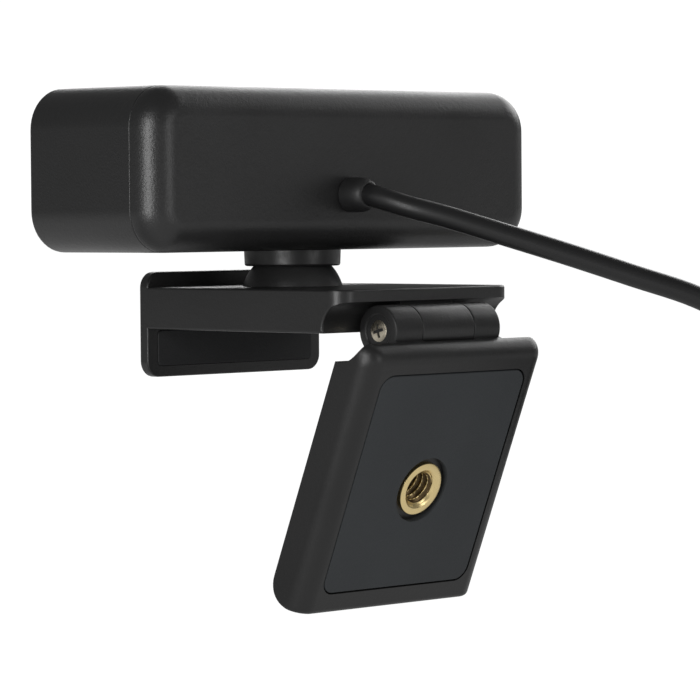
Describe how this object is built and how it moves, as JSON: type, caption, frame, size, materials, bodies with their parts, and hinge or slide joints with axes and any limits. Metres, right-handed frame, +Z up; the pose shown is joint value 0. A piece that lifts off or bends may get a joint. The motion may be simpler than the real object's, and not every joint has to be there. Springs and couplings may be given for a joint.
{
  "type": "usb webcam with folding monitor clip",
  "caption": "Wide bar-shaped webcam on a ball swivel above a folding monitor clip, with a tripod thread in the clip's leg and a stored USB cable.",
  "frame": {"origin": "underside of the clip block on the pan axis, where the clip rests on the top edge of a monitor", "axes": "+Z up, the lens looks along -Y, X across the width of the head"},
  "size_m": [0.164, 0.0994, 0.0905],
  "materials": {
    "grained_plastic": "fine moulded grain, charcoal",
    "smooth_plastic": "smooth black",
    "window": "polished, tinted nearly black",
    "lens_glass": "coated",
    "filter_glass": "coated",
    "foam_rubber": "matt, bluish grey",
    "cable_jacket": "semi-gloss",
    "brass": "turned",
    "plated_steel": "nickel plated",
    "dark_steel": "oiled",
    "board": "green solder mask",
    "pale_plastic": "smooth cream",
    "clear_plastic": "clear",
    "chip": "smooth dark"
  },
  "bodies": {
    "clip": {"clip_bracket": "grained_plastic", "lip_pad": "foam_rubber", "swivel_cap": "smooth_plastic", "swivel_cap_screws": "dark_steel"},
    "swivel": {"swivel_dome": "smooth_plastic"},
    "head": {"swivel_collar": "grained_plastic", "tension_screw": "dark_steel", "saddle_washer": "plated_steel", "tension_spring": "dark_steel", "lock_nut": "dark_steel", "front_housing": "grained_plastic", "rear_cover": "grained_plastic", "front_window": "window", "lens_ring": "smooth_plastic", "lens_barrel": "smooth_plastic", "front_lens": "lens_glass", "lens_holder": "smooth_plastic", "infrared_filter": "filter_glass", "image_sensor": "chip", "main_board": "board", "board_screws": "dark_steel", "status_led": "pale_plastic", "light_pipe": "clear_plastic", "microphones": "plated_steel", "microphone_boots": "foam_rubber", "cable_socket": "pale_plastic", "strain_relief": "cable_jacket", "usb_cable": "cable_jacket", "cable_coil": "cable_jacket", "cable_tie": "smooth_plastic", "cable_tail": "cable_jacket", "plug_body": "smooth_plastic", "plug_shell": "plated_steel", "plug_insert": "pale_plastic"},
    "leg": {"leg": "grained_plastic", "leg_pad": "foam_rubber", "tripod_insert": "brass", "hinge_screw": "plated_steel", "hinge_nut": "dark_steel", "friction_washers": "dark_steel"}
  },
  "joints": [
    {"name": "head_pan", "type": "hinge", "parent": "clip", "child": "swivel", "pos_m": [0, 0, 0], "axis": [0, 0, 1], "range_deg": [-180, 180]},
    {"name": "head_tilt", "type": "hinge", "parent": "swivel", "child": "head", "pos_m": [0, 0, 0.00487], "axis": [1, 0, 0], "range_deg": [-15, 9]},
    {"name": "leg_fold", "type": "hinge", "parent": "clip", "child": "leg", "pos_m": [0, 0.03335, 0.0003], "axis": [1, 0, 0], "range_deg": [-56, 90]}
  ]
}
